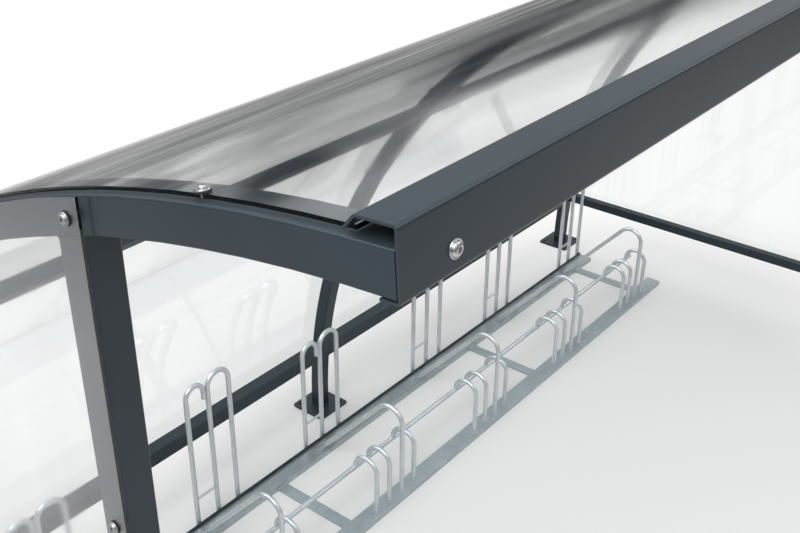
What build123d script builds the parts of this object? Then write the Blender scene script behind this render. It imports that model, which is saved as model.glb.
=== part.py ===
from build123d import *
import math
import os

# Bike shelter of two bays: three quarter-round tube frames on foot plates, a post under each
# end frame, rails and purlins between them, a folded fascia along the front, a clear curved
# sheet over each bay, a clear flat panel on each end, and a rack of low and tall hoops inside.
# Millimetres. The origin is on the ground, at the middle of the shelter's own outline.
# X runs along the shelter, Y from the open front to the back, Z up.

# Frames
BAY_PITCH = 1950.0            # from the middle of one frame to the middle of the next
FRAME_TUBE = 50.0             # square tube of the frames and the end posts
FRAME_WALL = 3.0
FRAME_CORNER = 3.0            # rounding of the frame tube's long edges
ARC_RADIUS = 2140.0           # outside of the frame's bend, where the sheets lie
ARC_CENTRE_HEIGHT = 50.0      # height of the bend's centre above the ground
FRONT_LEAN = 4.0              # degrees from the top of the bend to the frame's front end

# Foot plates
PLATE_SIDE = 160.0
PLATE_THICKNESS = 10.0
PLATE_CORNER = 8.0
ANCHOR_SPACING = 120.0
ANCHOR_HOLE_RADIUS = 7.0

# End posts
POST_FRONT = 601.0            # from the bend's centre to the post's front face

# Rails and purlins
RAIL_TUBE = 40.0
RAIL_WALL = 2.5
RAIL_CORNER = 2.5
REAR_RAIL_HEIGHT = 60.0
REAR_RAIL_DEPTH = 50.0
PURLIN_ANGLE = 50.0           # degrees from the top of the bend
REAR_RAIL_ANGLE = 83.7
SEAT_GAP = 0.3                # left where a curved or welded face meets another

# Front fascia
FASCIA_SHEET = 3.0
FASCIA_BEND = 2.0             # inside radius of its folds
FASCIA_HEIGHT = 77.5
FASCIA_TOP = 48.5             # width of the top flange
FASCIA_LIP_RUN = 14.5         # how far the lip leans back
FASCIA_FOOT = 24.0            # width of the bottom flange
FASCIA_GAP = 1.3              # between the fascia and the frame's front end
BRACKET_LEG = 60.0            # fascia bracket, along the fascia
BRACKET_ARM = 50.0            # fascia bracket, along the frame
BRACKET_HEIGHT = 42.0
BRACKET_THICKNESS = 5.0

# Roof sheets
SHEET_THICKNESS = 5.0
SHEET_SETBACK = 15.0          # from the end frame's outer face to the sheet's edge
SHEET_JOINT = 6.0             # open joint over the middle frame
SHEET_SEAT = 0.7              # between the frames' bend and the sheets that lie on it
SHEET_FRONT = 54.0            # from the frame's front end back to the sheet's front edge
LIP_CLEARANCE = 0.5           # between the fascia's lip and the sheet below it
SHEET_TAIL = 4.0              # how far the sheet runs on below the rear rail

# End panels
PANEL_THICKNESS = 4.0
PANEL_STAND_OFF = 6.0         # rubber spacers hold the panel off the frame
PANEL_PROUD = 8.5             # how far the panel's front edge stands in front of the post
PANEL_BOLT_EDGE = 25.0        # from the panel's front edge to the line of its bolts
SPACER_RADIUS = 10.0
SPACER_PITCH = 460.0          # greatest distance from one spacer to the next

# Rack
PLACE_COUNT = 6
RACK_END_GAP = 68.0           # from the end frame's inner face to the rack's end
RACK_PLATE_GAP = 95.0         # from the rack's back bar to the rear foot plates
RACK_RAIL_WIDTH = 65.0
RACK_RAIL_HEIGHT = 20.0
RACK_RAIL_WALL = 3.0
RACK_RAIL_SPREAD = 395.0      # from the middle of the rear rail to the middle of the front rail
BACK_BAR_HEIGHT = 30.0
BACK_BAR_THICKNESS = 6.0
CROSS_PIECE_WIDTH = 45.0
CROSS_PIECE_THICKNESS = 8.0
PLACES_PER_CROSS_PIECE = 2
CROSS_PIECE_LEAD = 140.0      # from the rack's end to the middle of the first cross piece
ROUND_BAR = 18.0              # diameter of the hoops, hooks and tie rod
PLACE_TAIL = 218.0            # from a place's low hoop to the end of that place
WHEEL_SLOT = 72.0             # from the middle of one low bar to the next
LOW_HOOP_APEX = 465.0         # height at which the low hoop's two straight runs would meet
LOW_HOOP_BEND = 60.0
HOOK_STEPS = (-2, -1, 1)      # the hooks' places, in wheel slots from the low hoop
HOOK_REACH = 100.0            # from a hook's leg back to the tie rod
TIE_ROD_HEIGHT = 165.0
TIE_ROD_OVERRUN = 40.0        # beyond the outermost hooks
TALL_HOOP_WIDTH = 95.0        # between the middles of its legs
TALL_HOOP_TOPS = (490.0, 600.0)   # the places have lower and higher hoops in turn
TALL_HOOP_LEADS = (48.0, 111.0)   # in turn, from the low hoop to the leg that two tall hoops share
TALL_HOOP_LAP = 30.0          # how far the side hoop runs down along the shared leg
TALL_HOOP_STOP_HEIGHT = 130.0
TALL_HOOP_STOP_RADIUS = 5.0

# Worked out from the sizes above
FRAME_INNER = ARC_RADIUS - FRAME_TUBE
FRAME_MIDDLE = ARC_RADIUS - FRAME_TUBE / 2
LENGTH = 2 * BAY_PITCH + FRAME_TUBE
LEAN = math.radians(FRONT_LEAN)
FOLD_OUTSIDE = FASCIA_BEND + FASCIA_SHEET
FOOT_LEVEL = -FRAME_TUBE - FASCIA_GAP - FASCIA_SHEET
FRONT_REACH = (
    ARC_RADIUS * math.sin(LEAN)
    - (FASCIA_GAP + FASCIA_SHEET - FOLD_OUTSIDE) * math.cos(LEAN)
    + (FOOT_LEVEL + FOLD_OUTSIDE) * math.sin(LEAN)
    - FOLD_OUTSIDE
)
REAR_REACH = FRAME_MIDDLE + PLATE_SIDE / 2
ARC_CENTRE_Y = -(FRONT_REACH + REAR_REACH) / 2
POST_Y = ARC_CENTRE_Y + POST_FRONT + FRAME_TUBE / 2
REAR_FOOT_Y = ARC_CENTRE_Y + FRAME_MIDDLE
CROSS_AXIS = Axis((0, ARC_CENTRE_Y, ARC_CENTRE_HEIGHT), (1, 0, 0))
FRAME_X = {"left": -BAY_PITCH, "middle": 0.0, "right": BAY_PITCH}
END_SIDE = {"left": -1, "right": 1}
REAR_RAIL_REACH = (ARC_RADIUS - REAR_RAIL_DEPTH / 2) * math.cos(math.radians(REAR_RAIL_ANGLE))
REAR_RAIL_Z = ARC_CENTRE_HEIGHT + REAR_RAIL_REACH

os.makedirs("parts", exist_ok=True)


def save(part, name):
    part.label = name
    export_step(part, f"parts/{name}.step")


def bend_point(angle, radius):
    """Y and Z of a point on the bend, by its angle from the top."""
    turn = math.radians(angle)
    return ARC_CENTRE_Y + radius * math.sin(turn), ARC_CENTRE_HEIGHT + radius * math.cos(turn)


def bend_way(angle):
    """Direction in which the bend runs on to the back and down, by its angle from the top."""
    turn = math.radians(angle)
    return 0, math.cos(turn), -math.sin(turn)


def bend_plane(angle):
    """Plane across the bend: local x is +X, local y points out from the bend's centre."""
    turn = math.radians(angle)
    return Plane(
        origin=(0, ARC_CENTRE_Y, ARC_CENTRE_HEIGHT),
        x_dir=(1, 0, 0),
        z_dir=(0, -math.cos(turn), math.sin(turn)),
    )


def tube_section(width, depth, wall, corner):
    """Tube's section, in the sketch that is open."""
    RectangleRounded(width, depth, corner)
    Rectangle(width - 2 * wall, depth - 2 * wall, mode=Mode.SUBTRACT)


# Quarter-round frames, open square tube, from the foot plate up and over to the fascia
for side, frame_x in FRAME_X.items():
    with BuildPart() as frame:
        with BuildSketch(Plane.XY.offset(ARC_CENTRE_HEIGHT)) as frame_section:
            with Locations((frame_x, REAR_FOOT_Y)):
                tube_section(FRAME_TUBE, FRAME_TUBE, FRAME_WALL, FRAME_CORNER)
        extrude(amount=-(ARC_CENTRE_HEIGHT - PLATE_THICKNESS))
        revolve(frame_section.sketch, axis=CROSS_AXIS, revolution_arc=90 - FRONT_LEAN)
    save(frame.part, f"frame_{side}")

# Foot plates, three at the back and one under each end post
PLATE_PLACES = {f"foot_plate_rear_{side}": (x, REAR_FOOT_Y) for side, x in FRAME_X.items()}
for side in END_SIDE:
    PLATE_PLACES[f"foot_plate_post_{side}"] = (FRAME_X[side], POST_Y)

for plate_name, plate_place in PLATE_PLACES.items():
    with BuildPart() as foot_plate:
        with BuildSketch():
            with Locations(plate_place):
                RectangleRounded(PLATE_SIDE, PLATE_SIDE, PLATE_CORNER)
        extrude(amount=PLATE_THICKNESS)
        with Locations((*plate_place, PLATE_THICKNESS)):
            with GridLocations(ANCHOR_SPACING, ANCHOR_SPACING, 2, 2):
                Hole(ANCHOR_HOLE_RADIUS)
    save(foot_plate.part, plate_name)

# End posts, cut at the top to the curve of the frame above them
for side in END_SIDE:
    with BuildPart() as post:
        with BuildSketch(Plane.XY.offset(PLATE_THICKNESS)):
            with Locations((FRAME_X[side], POST_Y)):
                tube_section(FRAME_TUBE, FRAME_TUBE, FRAME_WALL, FRAME_CORNER)
        extrude(amount=ARC_RADIUS)
        with BuildSketch(Plane.YZ.offset(FRAME_X[side] - FRAME_TUBE)):
            with Locations((ARC_CENTRE_Y, ARC_CENTRE_HEIGHT)):
                Circle(FRAME_INNER - SEAT_GAP)
        extrude(amount=2 * FRAME_TUBE, mode=Mode.INTERSECT)
    save(post.part, f"post_{side}")

# Purlins and rear rails between the frames, turned to lie flush under the roof sheets
RAIL_SPAN = BAY_PITCH - FRAME_TUBE
RAILS = {
    "purlin": (PURLIN_ANGLE, RAIL_TUBE, RAIL_TUBE),
    "rear_rail": (REAR_RAIL_ANGLE, REAR_RAIL_HEIGHT, REAR_RAIL_DEPTH),
}
for rail_name, (rail_angle, rail_height, rail_depth) in RAILS.items():
    for side, way in END_SIDE.items():
        rail_y, rail_z = bend_point(rail_angle, ARC_RADIUS - SEAT_GAP - rail_depth / 2)
        rail_start = way * BAY_PITCH / 2 - RAIL_SPAN / 2
        rail_plane = Plane(origin=(rail_start, rail_y, rail_z), x_dir=bend_way(rail_angle), z_dir=(1, 0, 0))
        with BuildPart() as rail:
            with BuildSketch(rail_plane):
                tube_section(rail_height, rail_depth, RAIL_WALL, RAIL_CORNER)
            extrude(amount=RAIL_SPAN)
        save(rail.part, f"{rail_name}_{side}")

# End rails, from the post back to the frame's leg, at the height of the rear rail
END_RAIL_START = POST_Y + FRAME_TUBE / 2
END_RAIL_X = BAY_PITCH + FRAME_TUBE / 2 - RAIL_TUBE / 2
for side, way in END_SIDE.items():
    with BuildPart() as end_rail:
        with BuildSketch(Plane.XZ.offset(-END_RAIL_START)):
            with Locations((way * END_RAIL_X, REAR_RAIL_Z)):
                tube_section(RAIL_TUBE, RAIL_TUBE, RAIL_WALL, RAIL_CORNER)
        extrude(amount=-ARC_RADIUS)
        with BuildSketch(Plane.YZ.offset(way * END_RAIL_X - RAIL_TUBE)):
            with Locations((ARC_CENTRE_Y, ARC_CENTRE_HEIGHT)):
                Circle(FRAME_INNER - SEAT_GAP)
        extrude(amount=2 * RAIL_TUBE, mode=Mode.INTERSECT)
    save(end_rail.part, f"end_rail_{side}")

# Front fascia, one folded sheet. Its section is drawn at the frame's front end, square to it:
# local x runs back along the frame, local y points out.
front_y, front_z = bend_point(FRONT_LEAN, ARC_RADIUS)
FASCIA_PLANE = Plane(origin=(-LENGTH / 2, front_y, front_z), x_dir=bend_way(FRONT_LEAN), z_dir=(1, 0, 0))
WEB_FACE = -FASCIA_GAP - FASCIA_SHEET
TOP_LEVEL = FOOT_LEVEL + FASCIA_HEIGHT
LIP_BACK = WEB_FACE + FASCIA_TOP + FASCIA_LIP_RUN
LIP_FOOT = SHEET_SEAT + SHEET_THICKNESS + LIP_CLEARANCE - LIP_BACK**2 / (2 * ARC_RADIUS)
LIP_SLANT = math.hypot(FASCIA_LIP_RUN, TOP_LEVEL - LIP_FOOT)
LIP_LEVEL = LIP_FOOT + FASCIA_SHEET * FASCIA_LIP_RUN / LIP_SLANT
with BuildPart() as fascia:
    with BuildSketch(FASCIA_PLANE):
        with BuildLine():
            FilletPolyline(
                (WEB_FACE + FASCIA_FOOT, FOOT_LEVEL),
                (WEB_FACE, FOOT_LEVEL),
                (WEB_FACE, TOP_LEVEL),
                (WEB_FACE + FASCIA_TOP, TOP_LEVEL),
                (LIP_BACK, LIP_LEVEL),
                radius=FOLD_OUTSIDE,
            )
            offset(amount=FASCIA_SHEET, side=Side.RIGHT)
        make_face()
    extrude(amount=LENGTH)
save(fascia.part, "fascia")

# Fascia brackets, angles beside the frames' front ends that carry the fascia's bolts
BRACKET_PLACES = {"left": (1,), "middle": (-1, 1), "right": (-1,)}
for side, ways in BRACKET_PLACES.items():
    with BuildPart() as brackets:
        for way in ways:
            corner_x = FRAME_X[side] + way * FRAME_TUBE / 2 + LENGTH / 2
            bracket_top = FASCIA_PLANE.from_local_coords((0, (BRACKET_HEIGHT - FRAME_TUBE) / 2, corner_x))
            bracket_z = (0, -way * math.sin(LEAN), -way * math.cos(LEAN))
            with BuildSketch(Plane(origin=bracket_top, x_dir=(way, 0, 0), z_dir=bracket_z)):
                with BuildLine():
                    Polyline(
                        (0, FASCIA_GAP),
                        (BRACKET_LEG, FASCIA_GAP),
                        (BRACKET_LEG, FASCIA_GAP - BRACKET_THICKNESS),
                        (BRACKET_THICKNESS, FASCIA_GAP - BRACKET_THICKNESS),
                        (BRACKET_THICKNESS, -BRACKET_ARM),
                        (0, -BRACKET_ARM),
                        close=True,
                    )
                make_face()
            extrude(amount=way * BRACKET_HEIGHT)
    save(brackets.part, f"fascia_bracket_{side}")

# Clear roof sheets, one to a bay, from inside the fascia round to the rear rail
SHEET_WIDTH = LENGTH / 2 - SHEET_SETBACK - SHEET_JOINT / 2
SHEET_START = FRONT_LEAN + math.degrees(SHEET_FRONT / ARC_RADIUS)
SHEET_END = REAR_RAIL_ANGLE + math.degrees((REAR_RAIL_HEIGHT / 2 + SHEET_TAIL) / ARC_RADIUS)
for side, way in END_SIDE.items():
    with BuildPart() as roof_sheet:
        with BuildSketch(bend_plane(SHEET_END)):
            with Locations((way * (SHEET_JOINT + SHEET_WIDTH) / 2, ARC_RADIUS + SHEET_SEAT)):
                Rectangle(SHEET_WIDTH, SHEET_THICKNESS, align=(Align.CENTER, Align.MIN))
        revolve(axis=CROSS_AXIS, revolution_arc=SHEET_END - SHEET_START)
    save(roof_sheet.part, f"roof_sheet_{side}")

# Clear end panels, flat, held off the frame, post and end rail by rubber spacers
PANEL_FRONT = POST_FRONT - PANEL_PROUD
PANEL_FOOT = REAR_RAIL_Z - RAIL_TUBE / 2
PANEL_FOOT_TURN = math.degrees(math.asin((PANEL_FOOT - ARC_CENTRE_HEIGHT) / ARC_RADIUS))
PANEL_FRONT_TURN = math.degrees(math.acos(PANEL_FRONT / ARC_RADIUS))
PANEL_TOP = ARC_CENTRE_HEIGHT + ARC_RADIUS * math.sin(math.radians(PANEL_FRONT_TURN))
PANEL_BACK = ARC_CENTRE_Y + ARC_RADIUS * math.cos(math.radians(PANEL_FOOT_TURN))
for side, way in END_SIDE.items():
    with BuildPart() as end_panel:
        with BuildSketch(Plane.YZ.offset(way * (LENGTH / 2 + PANEL_STAND_OFF))):
            with BuildLine():
                CenterArc(
                    (ARC_CENTRE_Y, ARC_CENTRE_HEIGHT),
                    ARC_RADIUS,
                    PANEL_FOOT_TURN,
                    PANEL_FRONT_TURN - PANEL_FOOT_TURN,
                )
                Polyline(
                    (ARC_CENTRE_Y + PANEL_FRONT, PANEL_TOP),
                    (ARC_CENTRE_Y + PANEL_FRONT, PANEL_FOOT),
                    (PANEL_BACK, PANEL_FOOT),
                )
            make_face()
        extrude(amount=way * PANEL_THICKNESS)
    save(end_panel.part, f"end_panel_{side}")

# Rubber spacers behind the panel's bolts: up the post, round the frame and along the end rail
BOLT_LINE = PANEL_FRONT + PANEL_BOLT_EDGE
BOLT_LINE_Y = ARC_CENTRE_Y + BOLT_LINE
TOP_SPACER_TURN = math.degrees(math.asin(BOLT_LINE / FRAME_MIDDLE))
TOP_SPACER_Z = ARC_CENTRE_HEIGHT + FRAME_MIDDLE * math.cos(math.radians(TOP_SPACER_TURN))
LEG_SPACER_TURN = 90 - math.degrees(math.asin((REAR_RAIL_Z - ARC_CENTRE_HEIGHT) / FRAME_MIDDLE))
LEG_SPACER_Y, LEG_SPACER_Z = bend_point(LEG_SPACER_TURN, FRAME_MIDDLE)


def steps_over(length):
    """Number of equal steps, none longer than the spacers' greatest distance."""
    return math.ceil(length / SPACER_PITCH)


post_steps = steps_over(TOP_SPACER_Z - REAR_RAIL_Z)
bend_steps = steps_over(math.radians(LEG_SPACER_TURN - TOP_SPACER_TURN) * FRAME_MIDDLE)
rail_steps = steps_over(LEG_SPACER_Y - BOLT_LINE_Y)
SPACER_PLACES = [(BOLT_LINE_Y, REAR_RAIL_Z)]
SPACER_PLACES += [(BOLT_LINE_Y, TOP_SPACER_Z - step * SPACER_PITCH) for step in range(1, post_steps)]
SPACER_PLACES += [
    bend_point(TOP_SPACER_TURN + step * (LEG_SPACER_TURN - TOP_SPACER_TURN) / bend_steps, FRAME_MIDDLE)
    for step in range(bend_steps + 1)
]
SPACER_PLACES += [
    (BOLT_LINE_Y + step * (LEG_SPACER_Y - BOLT_LINE_Y) / rail_steps, REAR_RAIL_Z)
    for step in range(1, rail_steps)
]
for side, way in END_SIDE.items():
    with BuildPart() as spacers:
        with BuildSketch(Plane.YZ.offset(way * LENGTH / 2)):
            with Locations(SPACER_PLACES):
                Circle(SPACER_RADIUS)
        extrude(amount=way * PANEL_STAND_OFF)
    save(spacers.part, f"panel_spacers_{side}")

# Rack on the ground: two rails, open below, joined by flat cross pieces, with a bar on edge
# behind the rear rail
RACK_LENGTH = LENGTH - 2 * (FRAME_TUBE + RACK_END_GAP)
PLACE_PITCH = RACK_LENGTH / PLACE_COUNT
BAR_RADIUS = ROUND_BAR / 2
BACK_BAR_Y = REAR_FOOT_Y - PLATE_SIDE / 2 - RACK_PLATE_GAP - BACK_BAR_THICKNESS / 2
REAR_RAIL_MIDDLE = BACK_BAR_Y - BACK_BAR_THICKNESS / 2 - SEAT_GAP - RACK_RAIL_WIDTH / 2
FRONT_RAIL_MIDDLE = REAR_RAIL_MIDDLE - RACK_RAIL_SPREAD
BAR_FOOT = RACK_RAIL_HEIGHT + SEAT_GAP
LOW_HOOP_X = [RACK_LENGTH / 2 - PLACE_TAIL - step * PLACE_PITCH for step in reversed(range(PLACE_COUNT))]


def along_rack(y, length):
    """Plane across the rack at its left end: local x is +Y, local y is +Z."""
    return Plane(origin=(-length / 2, y, 0), x_dir=(0, 1, 0), z_dir=(1, 0, 0))


def start_of(path):
    """Plane square to a path at its start."""
    return Plane(origin=path.line @ 0, z_dir=path.line % 0)


for rail_name, rail_y in (("front", FRONT_RAIL_MIDDLE), ("rear", REAR_RAIL_MIDDLE)):
    with BuildPart() as rack_rail:
        with BuildSketch(along_rack(rail_y, RACK_LENGTH)):
            Rectangle(RACK_RAIL_WIDTH, RACK_RAIL_HEIGHT, align=(Align.CENTER, Align.MIN))
            Rectangle(
                RACK_RAIL_WIDTH - 2 * RACK_RAIL_WALL,
                RACK_RAIL_HEIGHT - RACK_RAIL_WALL,
                align=(Align.CENTER, Align.MIN),
                mode=Mode.SUBTRACT,
            )
        extrude(amount=RACK_LENGTH)
    save(rack_rail.part, f"rack_rail_{rail_name}")

with BuildPart() as back_bar:
    with BuildSketch(along_rack(BACK_BAR_Y, RACK_LENGTH)):
        Rectangle(BACK_BAR_THICKNESS, BACK_BAR_HEIGHT, align=(Align.CENTER, Align.MIN))
    extrude(amount=RACK_LENGTH)
save(back_bar.part, "rack_back_bar")

CROSS_PIECE_END = RACK_LENGTH / 2 - CROSS_PIECE_LEAD
CROSS_PIECE_STEPS = range(0, PLACE_COUNT, PLACES_PER_CROSS_PIECE)
CROSS_PIECE_X = [step * PLACE_PITCH - CROSS_PIECE_END for step in CROSS_PIECE_STEPS]
CROSS_PIECE_X.append(CROSS_PIECE_END)
with BuildPart() as cross_pieces:
    with BuildSketch():
        with Locations([(x, (REAR_RAIL_MIDDLE + FRONT_RAIL_MIDDLE) / 2) for x in CROSS_PIECE_X]):
            Rectangle(CROSS_PIECE_WIDTH, RACK_RAIL_SPREAD - RACK_RAIL_WIDTH - 2 * SEAT_GAP)
    extrude(amount=CROSS_PIECE_THICKNESS)
save(cross_pieces.part, "rack_cross_pieces")

# Tie rod under the hooks' ends
TIE_ROD_START = LOW_HOOP_X[0] + min(HOOK_STEPS) * WHEEL_SLOT - TIE_ROD_OVERRUN
TIE_ROD_END = LOW_HOOP_X[-1] + max(HOOK_STEPS) * WHEEL_SLOT + TIE_ROD_OVERRUN
with BuildPart() as tie_rod:
    with BuildSketch(Plane.YZ.offset(TIE_ROD_START)):
        with Locations((FRONT_RAIL_MIDDLE + HOOK_REACH, TIE_ROD_HEIGHT)):
            Circle(BAR_RADIUS)
    extrude(amount=TIE_ROD_END - TIE_ROD_START)
save(tie_rod.part, "rack_tie_rod")

# Low bars of each place: a hoop from the front rail up and over to the rear rail, and three
# hooks beside it from the front rail to the tie rod
HOOK_TURN_HEIGHT = TIE_ROD_HEIGHT + BAR_RADIUS + SEAT_GAP
for number, hoop_x in enumerate(LOW_HOOP_X, start=1):
    with BuildPart() as low_bars:
        with BuildLine(Plane.YZ.offset(hoop_x)) as hoop_path:
            FilletPolyline(
                (FRONT_RAIL_MIDDLE, BAR_FOOT),
                (FRONT_RAIL_MIDDLE, LOW_HOOP_APEX),
                (REAR_RAIL_MIDDLE, BAR_FOOT),
                radius=LOW_HOOP_BEND,
            )
        with BuildSketch(start_of(hoop_path)):
            Circle(BAR_RADIUS)
        sweep()
        for steps in HOOK_STEPS:
            with BuildLine(Plane.YZ.offset(hoop_x + steps * WHEEL_SLOT)) as hook_path:
                Line((FRONT_RAIL_MIDDLE, BAR_FOOT), (FRONT_RAIL_MIDDLE, HOOK_TURN_HEIGHT))
                ThreePointArc(
                    (FRONT_RAIL_MIDDLE, HOOK_TURN_HEIGHT),
                    (FRONT_RAIL_MIDDLE + HOOK_REACH / 2, HOOK_TURN_HEIGHT + HOOK_REACH / 2),
                    (FRONT_RAIL_MIDDLE + HOOK_REACH, HOOK_TURN_HEIGHT),
                )
            with BuildSketch(start_of(hook_path)):
                Circle(BAR_RADIUS)
            sweep()
        split(bisect_by=Plane.XY.offset(BAR_FOOT), keep=Keep.TOP)
    save(low_bars.part, f"rack_low_bars_{number}")

# Tall hoops of each place, behind the back bar: a full hoop, and a side hoop that ends on the
# full hoop's first leg, with a wheel stop between their legs
TALL_HOOP_Y = BACK_BAR_Y + BACK_BAR_THICKNESS / 2 + SEAT_GAP + BAR_RADIUS
SIDE_HOOP_SPAN = TALL_HOOP_WIDTH - ROUND_BAR - SEAT_GAP
for number, hoop_x in enumerate(LOW_HOOP_X, start=1):
    turn = (number - 1) % len(TALL_HOOP_TOPS)
    shared_x = hoop_x + TALL_HOOP_LEADS[turn]
    outer_x = shared_x - TALL_HOOP_WIDTH
    turn_height = TALL_HOOP_TOPS[turn] - TALL_HOOP_WIDTH / 2
    hoops = ((shared_x, TALL_HOOP_WIDTH, 0), (outer_x, SIDE_HOOP_SPAN, turn_height - TALL_HOOP_LAP))
    with BuildPart() as tall_hoops:
        for left, span, right_foot in hoops:
            right = left + span
            with BuildLine(Plane.XZ.offset(-TALL_HOOP_Y)) as tall_path:
                Line((left, 0), (left, turn_height))
                ThreePointArc(
                    (left, turn_height),
                    (left + span / 2, turn_height + span / 2),
                    (right, turn_height),
                )
                Line((right, turn_height), (right, right_foot))
            with BuildSketch(start_of(tall_path)):
                Circle(BAR_RADIUS)
            sweep()
        with BuildSketch(Plane(origin=(outer_x, TALL_HOOP_Y, TALL_HOOP_STOP_HEIGHT), z_dir=(1, 0, 0))):
            Circle(TALL_HOOP_STOP_RADIUS)
        extrude(amount=TALL_HOOP_WIDTH - BAR_RADIUS - SEAT_GAP)
    save(tall_hoops.part, f"rack_tall_hoops_{number}")
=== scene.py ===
"""Finishes a two-bay bike shelter: its coats, clear sheets, fasteners and welds, and a plain stage."""
import math

import bmesh
import bpy
from bpy.props import FloatProperty, FloatVectorProperty, PointerProperty
from mathutils import Matrix, Vector


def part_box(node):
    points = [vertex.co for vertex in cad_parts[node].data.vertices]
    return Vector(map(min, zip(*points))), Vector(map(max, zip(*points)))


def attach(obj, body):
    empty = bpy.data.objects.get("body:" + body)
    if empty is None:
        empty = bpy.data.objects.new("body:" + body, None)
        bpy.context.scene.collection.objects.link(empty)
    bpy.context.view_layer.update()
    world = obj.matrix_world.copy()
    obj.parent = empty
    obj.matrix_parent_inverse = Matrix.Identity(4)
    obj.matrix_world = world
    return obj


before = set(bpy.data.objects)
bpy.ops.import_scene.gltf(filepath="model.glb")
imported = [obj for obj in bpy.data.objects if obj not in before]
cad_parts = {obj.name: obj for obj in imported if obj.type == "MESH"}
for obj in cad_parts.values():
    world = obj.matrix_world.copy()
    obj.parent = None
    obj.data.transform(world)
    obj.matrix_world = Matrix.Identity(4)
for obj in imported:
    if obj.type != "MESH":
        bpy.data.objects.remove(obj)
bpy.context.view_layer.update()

bl_info = {
    "name": "Bike Shelter Finish",
    "version": (1, 0, 0),
    "blender": (4, 5, 0),
    "location": "3D View > Sidebar > Shelter",
    "description": "Powder coat, clear sheets, fasteners and a stage for a two-bay bike shelter",
    "category": "Object",
}

MM = 0.001

# Places that the steelwork gives, in metres
FRAME_LOW, FRAME_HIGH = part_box("frame_middle")
TUBE = FRAME_HIGH.x - FRAME_LOW.x
LEG_BACK = FRAME_HIGH.y
SHELTER_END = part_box("fascia")[1].x
ENDS = {"left": -1, "right": 1}


class Lengths(bpy.types.PropertyGroup):
    """Sizes of the shelter that its finish follows."""

    bend_radius: FloatProperty(
        name="Bend radius", description="Outside of the frames' bend", default=2.14, unit="LENGTH")
    bend_height: FloatProperty(
        name="Bend height", description="Centre of the bend above the ground", default=0.05, unit="LENGTH")
    front_lean: FloatProperty(
        name="Front lean", description="From the top of the bend to the frames' front ends",
        default=math.radians(4), subtype="ANGLE")
    fascia_gap: FloatProperty(
        name="Fascia gap", description="Between a frame's front end and the fascia's web",
        default=0.0013, unit="LENGTH")
    fascia_sheet: FloatProperty(
        name="Fascia sheet", description="Thickness of the folded fascia", default=0.003, unit="LENGTH")
    roof_sheet: FloatProperty(
        name="Roof sheet", description="Thickness of the clear roof sheets", default=0.005, unit="LENGTH")
    sheet_seat: FloatProperty(
        name="Sheet seat", description="Between the frames' bend and the roof sheets that lie on it",
        default=0.0007, unit="LENGTH")
    bolt_beside_frame: FloatProperty(
        name="Fascia bolt", description="From a frame's side to the fascia bolt beside it",
        default=0.0309, unit="LENGTH")
    bolt_below_middle: FloatProperty(
        name="Fascia bolt drop",
        description="From the middle of a frame's front end down to the fascia bolt",
        default=0.0042, unit="LENGTH")
    screw_first: FloatProperty(
        name="First roof screw", description="From the top of the bend to the first roof screw",
        default=math.radians(11.05), subtype="ANGLE")
    screw_pitch: FloatProperty(
        name="Roof screw pitch", description="Along the bend, from one roof screw to the next",
        default=0.45, unit="LENGTH")
    screw_last: FloatProperty(
        name="Last roof screw", description="From the top of the bend, no roof screw lies beyond this",
        default=math.radians(83), subtype="ANGLE")
    screw_off_end: FloatProperty(
        name="Screws off the end", description="From the shelter's end to the end frames' roof screws",
        default=0.020, unit="LENGTH")
    screw_off_joint: FloatProperty(
        name="Screws off the joint", description="From the middle frame's centre line to its roof screws",
        default=0.0135, unit="LENGTH")

    rail_tube: FloatProperty(
        name="Rail tube", description="Side of the purlins' and end rails' square tube",
        default=0.040, unit="LENGTH")
    rear_rail: FloatVectorProperty(
        name="Rear rail", description="Height and depth of the rear rails' tube", size=2,
        default=(0.060, 0.050), unit="LENGTH")
    tube_corner: FloatProperty(
        name="Tube corner", description="Rounding of the tubes' long edges", default=0.003, unit="LENGTH")
    weld_bead: FloatProperty(
        name="Weld bead", description="Radius of the weld beads", default=0.0016, unit="LENGTH")
    bar_radius: FloatProperty(
        name="Rack bar", description="Radius of the rack's round bars", default=0.009, unit="LENGTH")
    wheel_stop_reach: FloatProperty(
        name="Wheel stop reach",
        description="Bars further than this in front of the rack's middle stand on the front rail only",
        default=0.036, unit="LENGTH")
    cross_flat: FloatVectorProperty(
        name="Cross piece weld", description="Width and height of a cross piece's weld seam", size=2,
        default=(0.045, 0.001), unit="LENGTH")


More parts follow.
